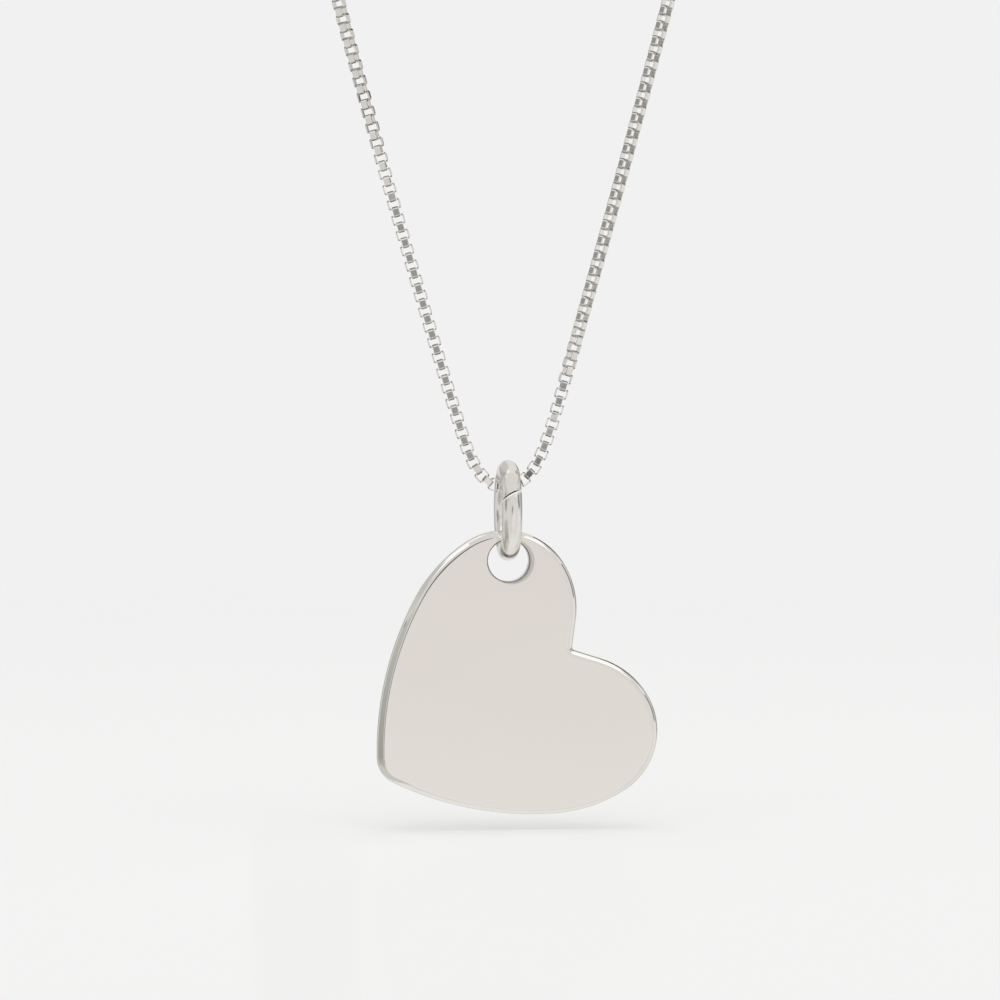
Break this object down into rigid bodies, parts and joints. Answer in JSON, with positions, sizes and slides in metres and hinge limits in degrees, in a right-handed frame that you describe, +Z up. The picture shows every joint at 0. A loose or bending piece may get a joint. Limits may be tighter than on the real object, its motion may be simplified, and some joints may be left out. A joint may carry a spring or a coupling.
{
  "type": "heart pendant necklace",
  "caption": "Flat polished heart hung by one lobe from a round jump ring on a fine box chain, a closed loop with a plain barrel clasp at its top.",
  "frame": {"origin": "underside of the barrel clasp at the top of the loop, where the necklace rests on a neck or a peg", "axes": "+Z up, the heart's face towards -Y, the loop in the XZ plane"},
  "size_m": [0.078, 0.0062, 0.219],
  "materials": {
    "polished_silver": "mirror polished sterling silver",
    "ring_silver": "drawn and polished sterling silver wire",
    "chain_silver": "tumble polished sterling silver strip",
    "clasp_silver": "turned and polished sterling silver"
  },
  "bodies": {
    "necklace": {"chain": "chain_silver", "clasp": "clasp_silver"},
    "ring": {"jump_ring": "ring_silver"},
    "pendant": {"heart": "polished_silver"}
  },
  "joints": [
    {"name": "ring_swing", "type": "hinge", "parent": "necklace", "child": "ring", "pos_m": [0, 0, -0.1962], "axis": [1, 0, 0], "range_deg": [-90, 90]},
    {"name": "heart_swing", "type": "hinge", "parent": "ring", "child": "pendant", "pos_m": [0, 0, -0.20003], "axis": [0, 1, 0], "range_deg": [-75, 65]}
  ]
}
